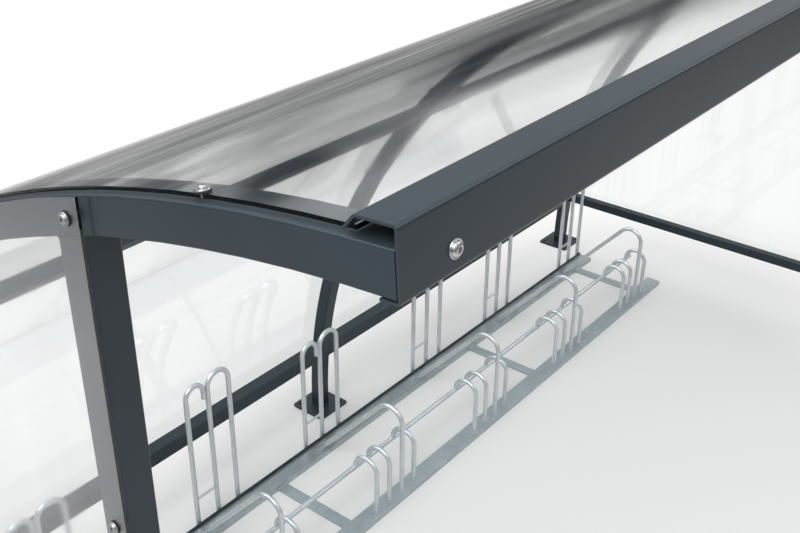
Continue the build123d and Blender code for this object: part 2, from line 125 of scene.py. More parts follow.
class Fasteners(bpy.types.PropertyGroup):
    """Sizes of the bolts, screws and washers. Each pair is a radius and a height."""

    fascia_flange: FloatVectorProperty(
        name="Fascia bolt flange", description="Radius and height of its flange", size=2,
        default=(0.0104, 0.0017), unit="LENGTH")
    fascia_head: FloatVectorProperty(
        name="Fascia bolt head", description="Radius of its dome, and height of the whole head", size=2,
        default=(0.0080, 0.0053), unit="LENGTH")
    fascia_recess: FloatVectorProperty(
        name="Fascia bolt recess", description="Radius and depth of its six-lobed recess", size=2,
        default=(0.0032, 0.0024), unit="LENGTH")
    panel_flange: FloatVectorProperty(
        name="Panel bolt flange", description="Radius and height of its flange", size=2,
        default=(0.0090, 0.0013), unit="LENGTH")
    panel_head: FloatVectorProperty(
        name="Panel bolt head", description="Radius of its dome, and height of the whole head", size=2,
        default=(0.0066, 0.0039), unit="LENGTH")
    panel_recess: FloatVectorProperty(
        name="Panel bolt recess", description="Radius and depth of its six-lobed recess", size=2,
        default=(0.0028, 0.0024), unit="LENGTH")
    panel_washer: FloatVectorProperty(
        name="Panel washer", description="Radius and thickness of the rubber under a panel bolt", size=2,
        default=(0.0094, 0.0018), unit="LENGTH")
    screw_washer: FloatVectorProperty(
        name="Screw washer", description="Radius and height of a roof screw's dished washer", size=2,
        default=(0.0090, 0.0020), unit="LENGTH")
    screw_head: FloatVectorProperty(
        name="Screw head", description="Radius and height of a roof screw's head, above its washer", size=2,
        default=(0.0045, 0.0034), unit="LENGTH")
    screw_recess: FloatVectorProperty(
        name="Screw recess", description="Radius and depth of a roof screw's six-lobed recess", size=2,
        default=(0.00189, 0.0018), unit="LENGTH")
    screw_shank: FloatVectorProperty(
        name="Screw shank", description="Radius and length of a roof screw below its washer", size=2,
        default=(0.0024, 0.0090), unit="LENGTH")
    screw_seal: FloatVectorProperty(
        name="Screw seal", description="Radius and thickness of the rubber disc under the washer", size=2,
        default=(0.0093, 0.0017), unit="LENGTH")


class Colours(bpy.types.PropertyGroup):
    """Colours of the shelter's finishes."""

    coat: FloatVectorProperty(
        name="Powder coat", description="Anthracite of the steelwork", subtype="COLOR",
        default=(0.013, 0.023, 0.031))
    fascia_coat: FloatVectorProperty(
        name="Fascia coat", description="Anthracite of the fascia", subtype="COLOR",
        default=(0.014, 0.023, 0.031))
    zinc: FloatVectorProperty(
        name="Zinc", description="Galvanised bars of the rack", subtype="COLOR",
        default=(0.58, 0.60, 0.61))
    rail_zinc: FloatVectorProperty(
        name="Rail zinc", description="Galvanised rails and flats of the rack, duller", subtype="COLOR",
        default=(0.42, 0.45, 0.46))
    rubber: FloatVectorProperty(
        name="Rubber", description="Spacers and sealing discs", subtype="COLOR",
        default=(0.012, 0.012, 0.013))
    clear_sheet: FloatVectorProperty(
        name="Clear sheet", description="Tint of the roof sheets and end panels", subtype="COLOR",
        default=(0.985, 0.992, 0.990))
    stainless: FloatVectorProperty(
        name="Stainless steel", description="Bolts, screws and their washers", subtype="COLOR",
        default=(0.62, 0.62, 0.60))
    dull_stainless: FloatVectorProperty(
        name="Dull stainless steel", description="Bolts of the end panels", subtype="COLOR",
        default=(0.42, 0.43, 0.42))


class Stage(bpy.types.PropertyGroup):
    """Camera, floor and light."""

    camera_place: FloatVectorProperty(
        name="Camera place", description="Where the camera stands", subtype="TRANSLATION",
        default=(-2.5746, -1.4975, 2.5864))
    camera_heading: FloatProperty(
        name="Camera heading", description="From +Y towards +X", default=math.radians(51.793),
        subtype="ANGLE")
    camera_tilt: FloatProperty(
        name="Camera tilt", description="Below the level", default=math.radians(28.53), subtype="ANGLE")
    camera_roll: FloatProperty(
        name="Camera roll", description="About its own line of sight", default=math.radians(0.653),
        subtype="ANGLE")
    camera_lens: FloatProperty(
        name="Camera lens", description="Focal length in millimetres on a 36 mm frame", default=46.43,
        unit="CAMERA")
    floor_colour: FloatVectorProperty(
        name="Floor", description="Pale floor under the shelter", subtype="COLOR",
        default=(0.80, 0.80, 0.80))
    floor_reach: FloatProperty(
        name="Floor reach", description="Half the floor's side", default=30.0, unit="LENGTH")
    sky_level: FloatProperty(
        name="Sky level", description="Light of the white surroundings", default=0.85)
    # Painted reflection: the grey that the distant floor glows with for mirrored rays
    far_floor_reflection: FloatProperty(
        name="Far floor", description="Grey of the distant floor where it is mirrored", default=0.33)
    key_place: FloatVectorProperty(
        name="Key lamp place", description="Where the large soft lamp hangs", subtype="TRANSLATION",
        default=(-4.6, -0.8, 6.2))
    key_aim: FloatVectorProperty(
        name="Key lamp aim", description="What the lamp points at", subtype="TRANSLATION",
        default=(0.0, 0.0, 1.0))
    key_size: FloatProperty(
        name="Key lamp size", description="Diameter of the lamp", default=4.0, unit="LENGTH")
    key_power: FloatProperty(
        name="Key lamp power", description="Power of the lamp in watts", default=260.0, unit="POWER")


def lengths():
    return bpy.context.scene.shelter_lengths


def fasteners():
    return bpy.context.scene.shelter_fasteners


def colours():
    return bpy.context.scene.shelter_colours


def stage():
    return bpy.context.scene.shelter_stage


# Shaders, written as expressions


class Flow:
    """An output socket that takes part in expressions. Each operator adds its Math node."""

    def __init__(self, recipe, socket):
        self.recipe = recipe
        self.socket = socket

    def maths(self, operation, first, second):
        return self.recipe.add("ShaderNodeMath", {"operation": operation}, {0: first, 1: second})

    def __add__(self, other):
        return self.maths("ADD", self, other)

    def __radd__(self, other):
        return self.maths("ADD", other, self)

    def __sub__(self, other):
        return self.maths("SUBTRACT", self, other)

    def __rsub__(self, other):
        return self.maths("SUBTRACT", other, self)

    def __mul__(self, other):
        return self.maths("MULTIPLY", self, other)

    def __rmul__(self, other):
        return self.maths("MULTIPLY", other, self)

    def at_least(self, other):
        return self.maths("MAXIMUM", self, other)

    def at_most(self, other):
        return self.maths("MINIMUM", self, other)

    def or_else(self, other, factor):
        """This value where the factor is 0, the other where it is 1."""
        return self + (other - self) * factor


class Recipe:
    """The nodes of one material, or of the world."""

    def __init__(self, owner):
        owner.use_nodes = True
        self.tree = owner.node_tree
        self.tree.nodes.clear()

    def add(self, kind, settings=None, sockets=None, take=0):
        """Adds a node, settings first and then the values or links of its sockets, and gives one output."""
        node = self.tree.nodes.new(kind)
        for name, value in (settings or {}).items():
            if name == "stops":
                self.stops(node.color_ramp, value)
            else:
                setattr(node, name, value)
        for name, value in (sockets or {}).items():
            if isinstance(value, Flow):
                self.tree.links.new(value.socket, node.inputs[name])
            else:
                node.inputs[name].default_value = value
        return Flow(self, node.outputs[take])

    @staticmethod
    def stops(ramp, values):
        while len(ramp.elements) < len(values):
            ramp.elements.new(1.0)
        for element, (place, grey) in zip(ramp.elements, values):
            element.position = place
            element.color = (grey, grey, grey, 1)

    def place(self):
        """Metres in the shelter's own frame."""
        return self.add("ShaderNodeTexCoord", take="Object")

    def stretched(self, factors, vector=None):
        return self.add("ShaderNodeMapping", sockets={"Vector": vector or self.place(), "Scale": factors})

    def noise(self, scale, detail=2.0, roughness=0.5, vector=None):
        return self.add(
            "ShaderNodeTexNoise",
            sockets={
                "Vector": vector or self.place(), "Scale": scale, "Detail": detail, "Roughness": roughness,
            })

    def range(self, value, low, high, to_low=0.0, to_high=1.0):
        """Leads a value from one range to another, and holds it at both ends."""
        return self.add(
            "ShaderNodeMapRange",
            sockets={
                "Value": value, "From Min": low, "From Max": high, "To Min": to_low, "To Max": to_high,
            })

    def blend(self, factor, first, second):
        """Mix of two colours."""
        return self.add(
            "ShaderNodeMix", {"data_type": "RGBA"},
            {0: factor, 6: solid(first), 7: solid(second)}, take=2)

    def bump(self, height, distance, strength):
        return self.add(
            "ShaderNodeBump", sockets={"Height": height, "Distance": distance, "Strength": strength})

    def towards(self, direction, aim):
        """How far a direction points along another, from -1 to 1."""
        return self.add(
            "ShaderNodeVectorMath", {"operation": "DOT_PRODUCT"}, {0: direction, 1: aim}, take="Value")

    def facing_up(self):
        """0 for a wall, 1 for a floor."""
        normal = self.add("ShaderNodeNewGeometry", take="Normal")
        return self.range(self.towards(normal, (0, 0, 1)), 0.2, 1.0)

    def close(self, kind, shader):
        node = self.tree.nodes.new(kind)
        self.tree.links.new(shader.socket, node.inputs["Surface"])


def solid(colour):
    """A colour with its alpha, or a flow as it is."""
    return colour if isinstance(colour, Flow) else (*colour[:3], 1)


def shade(colour, factor):
    return [channel * factor for channel in colour]


def material(name):
    made = bpy.data.materials.new(name)
    return made, Recipe(made)


def powder_coat(name, colour, roughness):
    """Satin powder coat: fine orange peel, slightly uneven gloss and a little dust on what faces up."""
    made, recipe = material(name)
    cloud = recipe.noise(2.3, detail=4.0)
    peel = recipe.noise(420.0, detail=1.5)
    grain = recipe.noise(2600.0, detail=1.0)
    dust = recipe.facing_up() * recipe.noise(9.0, detail=5.0)
    light = [channel * 1.22 + 0.004 for channel in colour]
    base = recipe.blend(recipe.range(cloud, 0.3, 0.7), shade(colour, 0.84), light)
    dusty = recipe.blend(dust * 0.05, base, (0.36, 0.36, 0.34))
    gloss = roughness + (cloud - 0.5) * 0.10 + (grain - 0.5) * 0.10 + dust * 0.06
    normal = recipe.bump(peel * 0.8 + grain * 0.2, 0.00009, 0.6)
    shader = recipe.add(
        "ShaderNodeBsdfPrincipled",
        sockets={
            "Base Color": dusty, "Roughness": gloss, "Normal": normal,
            "Specular IOR Level": 0.22, "Coat Weight": 0.16, "Coat Roughness": 0.08,
        })
    recipe.close("ShaderNodeOutputMaterial", shader)
    return made


def clear_plastic(name, colour, streaks):
    """Clear sheet with faint streaks, stretched along the axes of low scale. Lamps shine through it."""
    made, recipe = material(name)
    run = recipe.noise(1.0, detail=5.0, roughness=0.6, vector=recipe.stretched(streaks))
    film = recipe.range(run, 0.42, 0.75)
    speck = recipe.noise(160.0, detail=2.0)
    tint = recipe.blend(film * 0.35, colour, shade(colour, 0.90))
    glass = recipe.add(
        "ShaderNodeBsdfPrincipled",
        sockets={
            "Base Color": tint, "Roughness": 0.012 + film * 0.05 + (speck - 0.5) * 0.008,
            "IOR": 1.53, "Transmission Weight": 1.0,
            "Normal": recipe.bump(recipe.noise(3.2, detail=2.0), 0.0012, 0.12),
        })
    passed = recipe.add("ShaderNodeBsdfTransparent", sockets={"Color": solid(shade(colour, 0.95))})
    shadow = recipe.add("ShaderNodeLightPath", take="Is Shadow Ray")
    diffuse = recipe.add("ShaderNodeLightPath", take="Is Diffuse Ray")
    shader = recipe.add(
        "ShaderNodeMixShader", sockets={0: shadow.at_least(diffuse), 1: glass, 2: passed})
    recipe.close("ShaderNodeOutputMaterial", shader)
    return made


def black_rubber(name, colour):
    """Moulded rubber, dull, with a fine grain and a grey bloom."""
    made, recipe = material(name)
    grain = recipe.noise(900.0, detail=3.0)
    bloom = recipe.range(recipe.noise(60.0, detail=4.0), 0.4, 0.8)
    shader = recipe.add(
        "ShaderNodeBsdfPrincipled",
        sockets={
            "Base Color": recipe.blend(bloom * 0.3, colour, (0.05, 0.05, 0.05)),
            "Roughness": 0.62 + (grain - 0.5) * 0.2,
            "Normal": recipe.bump(grain, 0.00008, 0.4),
        })
    recipe.close("ShaderNodeOutputMaterial", shader)
    return made


def stainless_steel(name, colour, roughness=0.18):
    """Bright stainless steel of small fasteners, with faint turning marks and tarnish."""
    made, recipe = material(name)
    tarnish = recipe.range(recipe.noise(240.0, detail=4.0), 0.35, 0.75)
    scratch = recipe.noise(1.0, detail=3.0, vector=recipe.stretched((900.0, 5200.0, 2600.0)))
    shader = recipe.add(
        "ShaderNodeBsdfPrincipled",
        sockets={
            "Base Color": recipe.blend(tarnish, colour, shade(colour, 0.78)),
            "Metallic": 1.0, "Roughness": roughness + tarnish * 0.10 + (scratch - 0.5) * 0.08,
            "Normal": recipe.bump(scratch, 0.00001, 0.3),
        })
    recipe.close("ShaderNodeOutputMaterial", shader)
    return made


def galvanised_steel(name, colour):
    """Hot-dip zinc: spangle of flat crystals, a mottled bloom, and dull runs down the upright bars."""
    made, recipe = material(name)
    # Each crystal has a colour of its own, and only its grey is used
    flake = recipe.add(
        "ShaderNodeTexVoronoi", sockets={"Vector": recipe.place(), "Scale": 140.0}, take="Color")
    bloom = recipe.noise(16.0, detail=5.0, roughness=0.6)
    run = recipe.noise(1.0, detail=3.0, vector=recipe.stretched((70.0, 70.0, 6.0)))
    skin = recipe.noise(340.0, detail=2.0)
    tone = recipe.range(flake * 0.12 + bloom * 0.53 + run * 0.35, 0.34, 0.64)
    shader = recipe.add(
        "ShaderNodeBsdfPrincipled",
        sockets={
            "Base Color": recipe.blend(tone, shade(colour, 0.88), shade(colour, 1.10)),
            "Metallic": 0.80, "Roughness": 0.34 + (flake - 0.5) * 0.07 + (bloom - 0.5) * 0.10,
            "Normal": recipe.bump(skin * 0.8 + flake * 0.2, 0.00004, 0.4),
        })
    recipe.close("ShaderNodeOutputMaterial", shader)
    return made


def coat_nodes(made, names):
    """Puts a finish on whole nodes of the steelwork."""
    for name in names:
        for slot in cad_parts[name].material_slots:
            slot.material = made


# Turned pieces

SIDES = 48
LOBES = 6
SHARP_EDGE = math.radians(38)


class Turnings:
    """Turned pieces, gathered into one mesh."""

    def __init__(self):
        self.mesh = bmesh.new()

    def turn(self, rings, place):
        """Rings of (radius, height, depth of its six lobes), joined in order and closed at both ends."""
        loops = []
        for radius, height, lobe in rings:
            loop = []
            for step in range(SIDES):
                angle = 2 * math.pi * step / SIDES
                reach = radius * (1 + lobe * math.cos(LOBES * angle))
                spot = Vector((reach * math.cos(angle), reach * math.sin(angle), height))
                loop.append(self.mesh.verts.new(place @ spot))
            loops.append(loop)
        for inner, outer in zip(loops, loops[1:]):
            skin(self.mesh, inner, outer)
        self.mesh.faces.new(reversed(loops[0]))
        self.mesh.faces.new(loops[-1])

    def piece(self, name, made, slot=None):
        finished(self.mesh, name, made)


def skin(mesh, first, second):
    """Smooth faces between two closed loops."""
    for step in range(len(first)):
        after = (step + 1) % len(first)
        mesh.faces.new((first[step], first[after], second[after], second[step])).smooth = True


def finished(mesh, name, made):
    """Object of a finished mesh, riding on the shelter."""
    bmesh.ops.recalc_face_normals(mesh, faces=mesh.faces)
    data = bpy.data.meshes.new(name)
    mesh.to_mesh(data)
    mesh.free()
    data.materials.append(made)
    data.set_sharp_from_angle(angle=SHARP_EDGE)
    piece = bpy.data.objects.new(name, data)
    bpy.context.scene.collection.objects.link(piece)
    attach(piece, "root")


# Weld beads

BEAD_STEP = 1.2 * MM
BEAD_SIDES = 6
CORNER_STEPS = 3

# Ripples of a bead: share of its radius, and length of a wave divided by two pi
BEAD_RIPPLES = ((0.14, 0.75 * MM), (0.08, 5.3 * MM))


def tube_outline(width, depth):
    """Points round a tube's outline, near enough to each other for the ripple of a weld."""
    corner = min(lengths().tube_corner, width / 3, depth / 3)
    half = Vector((width / 2 - corner, depth / 2 - corner))
    knots = []
    for quarter, (a, b) in enumerate(((1, 1), (-1, 1), (-1, -1), (1, -1))):
        for step in range(CORNER_STEPS + 1):
            angle = math.pi / 2 * (quarter + step / CORNER_STEPS)
            round_off = corner * Vector((math.cos(angle), math.sin(angle)))
            knots.append(Vector((a * half.x, b * half.y)) + round_off)
    points = []
    for first, second in zip(knots, knots[1:] + knots[:1]):
        parts = max(1, round((second - first).length / BEAD_STEP))
        points += [first.lerp(second, step / parts) for step in range(parts)]
    return points


def round_outline(radius, steps=40):
    """Points round a bar."""
    return [
        (radius * math.cos(angle), radius * math.sin(angle))
        for angle in (2 * math.pi * step / steps for step in range(steps))]


def bead(mesh, points):
    """Closed weld bead, rippled as it was laid."""
    centre = sum(points, Vector()) / len(points)
    loops, gone = [], 0.0
    for number, point in enumerate(points):
        along = (points[(number + 1) % len(points)] - points[number - 1]).normalized()
        side = (point - centre) - along * (point - centre).dot(along)
        side.normalize()
        across = along.cross(side)
        gone += (point - points[number - 1]).length
        ripple = sum(share * math.sin(gone / wave) for share, wave in BEAD_RIPPLES)
        loop = []
        for step in range(BEAD_SIDES):
            angle = 2 * math.pi * step / BEAD_SIDES
            out = side * math.cos(angle) + across * math.sin(angle)
            loop.append(mesh.verts.new(point + lengths().weld_bead * (1 + ripple) * out))
        loops.append(loop)
    for first, second in zip(loops, loops[1:] + loops[:1]):
        skin(mesh, first, second)


# Bolts, screws and discs


def standing(point, outward, spin=0.0):
    """Frame of a fastener that stands on a surface, its own +Z pointing out of it."""
    turn = Vector(outward).to_track_quat("Z", "Y").to_matrix().to_4x4()
    return Matrix.Translation(point) @ turn @ Matrix.Rotation(spin, 4, "Z")


def dome(base_radius, base_height, top_radius, top_height, steps=6):
    """Rings of a domed head, from its rim up to the edge of its recess."""
    rings = []
    for step in range(steps + 1):
        angle = math.pi / 2 * step / steps
        radius = top_radius + (base_radius - top_radius) * math.cos(angle)
        rings.append((radius, base_height + (top_height - base_height) * math.sin(angle), 0.0))
    return rings


def recess(size, top):
    """Rings of a six-lobed recess, from its edge down to its floor."""
    radius, depth = size
    return [
        (radius * 1.06, top, 0.0),
        (radius, top - 0.15 * MM, 0.13),
        (radius * 0.97, top - depth, 0.13),
        (radius * 0.3, top - depth * 1.25, 0.0),
    ]


def domed_bolt(flange, head, hollow):
    """Flanged button head: rim, groove, dome and recess."""
    flange_radius, flange_height = flange
    head_radius, head_height = head
    rings = [
        (flange_radius * 0.3, 0.0, 0.0),
        (flange_radius, 0.0, 0.0),
        (flange_radius, flange_height * 0.6, 0.0),
        (flange_radius * 0.965, flange_height * 0.95, 0.0),
        (flange_radius * 0.90, flange_height, 0.0),
        (flange_radius * 0.84, flange_height * 0.86, 0.0),
        (head_radius * 1.02, flange_height * 0.78, 0.0),
    ]
    rings += dome(head_radius, flange_height * 1.1, hollow[0] * 1.15, head_height)
    rings += recess(hollow, head_height)
    return rings


def washer_screw(washer, head, hollow, shank):
    """Pan head on its dished washer, whose rim is chamfered, and the pointed shank below it."""
    washer_radius, washer_height = washer
    head_radius, head_height = head
    shank_radius, shank_length = shank
    top = washer_height + head_height
    return [
        (shank_radius * 0.5, -shank_length, 0.0),
        (shank_radius, 1.5 * MM - shank_length, 0.0),
        (shank_radius, 0.0, 0.0),
        (washer_radius * 0.93, 0.0, 0.0),
        (washer_radius, washer_height * 0.22, 0.0),
        (washer_radius, washer_height * 0.62, 0.0),
        (washer_radius * 0.95, washer_height, 0.0),
        (washer_radius * 0.88, washer_height * 1.02, 0.0),
        (washer_radius * 0.78, washer_height * 0.82, 0.0),
        (head_radius * 1.08, washer_height * 0.70, 0.0),
        (head_radius, washer_height * 0.78, 0.0),
        *dome(head_radius, washer_height * 1.1, head_radius * 0.55, top),
        *recess(hollow, top),
    ]


def rubber_disc(radius, thickness):
    """Sealing disc, bulged where it is pressed."""
    return [
        (radius * 0.3, 0.0, 0.0),
        (radius * 0.98, 0.0, 0.0),
        (radius, thickness * 0.5, 0.0),
        (radius * 0.96, thickness, 0.0),
        (radius * 0.3, thickness, 0.0),
    ]


def bend_frame(x, angle, radius, spin=0.0):
    """Place on the bend, by its angle from the top, facing out."""
    out = Vector((0, math.sin(angle), math.cos(angle)))
    centre = Vector((x, LEG_BACK - lengths().bend_radius, lengths().bend_height))
    return standing(centre + radius * out, out, spin)


def box_of(node):
    """Low corner, middle and high corner of a node's box."""
    low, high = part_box(node)
    return low, (low + high) / 2, high


def solids_of(node):
    """Middle of each separate solid of a node."""
    mesh = bmesh.new()
    mesh.from_mesh(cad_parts[node].data)
    bmesh.ops.remove_doubles(mesh, verts=mesh.verts, dist=0.01 * MM)
    left, middles = set(mesh.verts), []
    while left:
        island, edge = set(), [min(left, key=lambda vert: vert.index)]
        while edge:
            vert = edge.pop()
            if vert in left:
                left.discard(vert)
                island.add(vert)
                edge += [side.other_vert(vert) for side in vert.link_edges]
        low = Vector([min(vert.co[axis] for vert in island) for axis in range(3)])
        high = Vector([max(vert.co[axis] for vert in island) for axis in range(3)])
        middles.append((low + high) / 2)
    mesh.free()
    return middles


# Operators, one for each piece or group of like pieces


class SHELTER_OT_steelwork(bpy.types.Operator):
    """Powder coat on the frames, posts, plates, rails and brackets"""

    bl_idname = "shelter.steelwork"
    bl_label = "Steelwork"

    def execute(self, context):
        made = powder_coat("Anthracite coat", colours().coat, roughness=0.40)
        prefixes = (
            "frame_", "foot_plate_", "post_", "purlin_", "rear_rail_", "end_rail_", "fascia_bracket_",
            "rack_back_bar")
        coat_nodes(made, [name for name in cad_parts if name.startswith(prefixes)])
        return {"FINISHED"}


class SHELTER_OT_fascia(bpy.types.Operator):
    """Powder coat on the folded fascia"""

    bl_idname = "shelter.fascia"
    bl_label = "Fascia"

    def execute(self, context):
        coat_nodes(powder_coat("Fascia coat", colours().fascia_coat, roughness=0.34), ["fascia"])
        return {"FINISHED"}


class SHELTER_OT_clear_sheets(bpy.types.Operator):
    """Clear roof sheets and end panels"""

    bl_idname = "shelter.clear_sheets"
    bl_label = "Clear sheets"

    def execute(self, context):
        roof = clear_plastic("Clear roof", colours().clear_sheet, streaks=(0.35, 9.0, 9.0))
        ends = clear_plastic("Clear end", colours().clear_sheet, streaks=(6.0, 6.0, 0.6))
        coat_nodes(roof, ["roof_sheet_left", "roof_sheet_right"])
        coat_nodes(ends, ["end_panel_left", "end_panel_right"])
        return {"FINISHED"}


class SHELTER_OT_spacers(bpy.types.Operator):
    """Rubber of the spacers behind the end panels"""

    bl_idname = "shelter.spacers"
    bl_label = "Panel spacers"

    def execute(self, context):
        made = black_rubber("Black rubber", colours().rubber)
        coat_nodes(made, ["panel_spacers_left", "panel_spacers_right"])
        return {"FINISHED"}


class SHELTER_OT_rack(bpy.types.Operator):
    """Zinc on the rack's bars, rails and flats"""

    bl_idname = "shelter.rack"
    bl_label = "Rack"

    def execute(self, context):
        bars = ("rack_low_bars_", "rack_tall_hoops_", "rack_tie_rod")
        flats = ("rack_rail_", "rack_cross_pieces")
        for name, colour, prefixes in (
                ("Rack bar zinc", colours().zinc, bars), ("Rack rail zinc", colours().rail_zinc, flats)):
            made = galvanised_steel(name, colour)
            coat_nodes(made, [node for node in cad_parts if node.startswith(prefixes)])
        return {"FINISHED"}


class SHELTER_OT_fascia_bolts(bpy.types.Operator):
    """Bolts that hold the fascia to its brackets"""

    bl_idname = "shelter.fascia_bolts"
    bl_label = "Fascia bolts"

    def execute(self, context):
        sizes, sets = lengths(), fasteners()
        made = stainless_steel("Fascia bolt steel", colours().stainless, roughness=0.24)
        lean = sizes.front_lean
        back = Vector((0, math.cos(lean), -math.sin(lean)))
        face = bend_frame(0.0, lean, sizes.bend_radius - TUBE / 2).translation
        face -= (sizes.fascia_gap + sizes.fascia_sheet) * back
        face -= sizes.bolt_below_middle * Vector((0, math.sin(lean), math.cos(lean)))
        beside = TUBE / 2 + sizes.bolt_beside_frame
        end = SHELTER_END - TUBE / 2
        bolts = Turnings()
        for number, x in enumerate((-end + beside, -beside, beside, end - beside)):
            bolts.turn(
                domed_bolt(sets.fascia_flange, sets.fascia_head, sets.fascia_recess),
                standing(face + Vector((x, 0, 0)), -back, spin=0.35 + number))
        bolts.piece("fascia_bolts", made)
        return {"FINISHED"}


class SHELTER_OT_roof_screws(bpy.types.Operator):
    """Screws that hold the roof sheets, each with its pressed washer and sealing disc"""

    bl_idname = "shelter.roof_screws"
    bl_label = "Roof screws"

    def execute(self, context):
        sizes, sets = lengths(), fasteners()
        steel = stainless_steel("Roof screw steel", colours().stainless)
        rubber = black_rubber("Screw seal rubber", colours().rubber)
        end = SHELTER_END - sizes.screw_off_end
        rows = [-end, -sizes.screw_off_joint, sizes.screw_off_joint, end]
        step = sizes.screw_pitch / sizes.bend_radius
        count = int((sizes.screw_last - sizes.screw_first) / step) + 1
        on_sheet = sizes.bend_radius + sizes.sheet_seat + sizes.roof_sheet
        screws, seals = Turnings(), Turnings()
        for row, x in enumerate(rows):
            for number in range(count):
                angle = sizes.screw_first + number * step
                seals.turn(rubber_disc(*sets.screw_seal), bend_frame(x, angle, on_sheet))
                screws.turn(
                    washer_screw(sets.screw_washer, sets.screw_head, sets.screw_recess, sets.screw_shank),
                    bend_frame(x, angle, on_sheet + sets.screw_seal[1], spin=row + number))
        screws.piece("roof_screws", steel)
        seals.piece("roof_screw_seals", rubber, "rubber")
        return {"FINISHED"}


class SHELTER_OT_panel_bolts(bpy.types.Operator):
    """Bolts through the end panels, over the rubber spacers"""

    bl_idname = "shelter.panel_bolts"
    bl_label = "Panel bolts"

    def execute(self, context):
        sets = fasteners()
        steel = stainless_steel("Panel bolt steel", colours().dull_stainless, roughness=0.36)
        rubber = black_rubber("Panel washer rubber", colours().rubber)
        for side, way in ENDS.items():
            low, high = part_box(f"end_panel_{side}")
            outside = high.x if way > 0 else low.x
            bolts, washers = Turnings(), Turnings()
            on_washer = outside + way * sets.panel_washer[1]
            for number, spot in enumerate(solids_of(f"panel_spacers_{side}")):
                washers.turn(
                    rubber_disc(*sets.panel_washer), standing((outside, spot.y, spot.z), (way, 0, 0)))
                bolts.turn(
                    domed_bolt(sets.panel_flange, sets.panel_head, sets.panel_recess),
                    standing((on_washer, spot.y, spot.z), (way, 0, 0), spin=number))
            bolts.piece(f"panel_bolts_{side}", steel)
            washers.piece(f"panel_washers_{side}", rubber, "rubber")
        return {"FINISHED"}


class SHELTER_OT_weld_beads(bpy.types.Operator):
    """Weld beads where posts, legs, rails and rack bars meet what carries them"""

    bl_idname = "shelter.weld_beads"
    bl_label = "Weld beads"

    def execute(self, context):
        coat = powder_coat("Weld coat", colours().coat, roughness=0.42)
        zinc = galvanised_steel("Weld zinc", colours().zinc)
        finished(self.frame_beads(), "frame_weld_beads", coat)
        finished(self.rack_beads(), "rack_weld_beads", zinc)
        return {"FINISHED"}

    @staticmethod
    def frame_beads():
        sizes = lengths()
        mesh = bmesh.new()
        inside = sizes.bend_radius - TUBE
        centre_y, centre_z = LEG_BACK - sizes.bend_radius, sizes.bend_height
        post = tube_outline(TUBE, TUBE)
        for name in [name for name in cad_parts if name.startswith("foot_plate_")]:
            low, middle, high = box_of(name)
            bead(mesh, [Vector((middle.x + x, middle.y + y, high.z)) for x, y in post])
        for side in ENDS:
            low, middle, high = box_of(f"post_{side}")
            top = [(middle.x + x, middle.y + y) for x, y in post]
            bead(mesh, [
                Vector((x, y, centre_z + math.sqrt(inside**2 - (y - centre_y)**2))) for x, y in top])
            low, middle, high = box_of(f"end_rail_{side}")
            end = [
                (middle.x + x, middle.z + z) for x, z in tube_outline(sizes.rail_tube, sizes.rail_tube)]
            bead(mesh, [Vector((x, low.y, z)) for x, z in end])
            bead(mesh, [
                Vector((x, centre_y + math.sqrt(inside**2 - (z - centre_z)**2), z)) for x, z in end])
            for name, height, depth in (
                    ("purlin", sizes.rail_tube, sizes.rail_tube), ("rear_rail", *sizes.rear_rail)):
                low, middle, high = box_of(f"{name}_{side}")
                out = Vector((0, middle.y - centre_y, middle.z - centre_z)).normalized()
                on = Vector((0, out.z, -out.y))
                outline = [a * on + b * out for a, b in tube_outline(height, depth)]
                for x in (low.x, high.x):
                    bead(mesh, [Vector((x, middle.y, middle.z)) + step for step in outline])
        return mesh

    @staticmethod
    def rack_beads():
        sizes = lengths()
        mesh = bmesh.new()
        front, front_high = box_of("rack_rail_front")[1:]
        rear_low, rear = box_of("rack_rail_rear")[:2]
        front_only = (front.y + rear.y) / 2 - sizes.wheel_stop_reach
        for name in [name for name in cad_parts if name.startswith("rack_low_bars_")]:
            for bar in solids_of(name):
                for y in [front.y] if bar.y < front_only else [front.y, rear.y]:
                    bead(mesh, [
                        Vector((bar.x + a, y + b, front_high.z)) for a, b in round_outline(sizes.bar_radius)])
        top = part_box("rack_cross_pieces")[1].z
        for flat in solids_of("rack_cross_pieces"):
            for y in (front_high.y, rear_low.y):
                bead(mesh, [
                    Vector((flat.x + a, y, top + b)) for a, b in tube_outline(*sizes.cross_flat)])
        return mesh


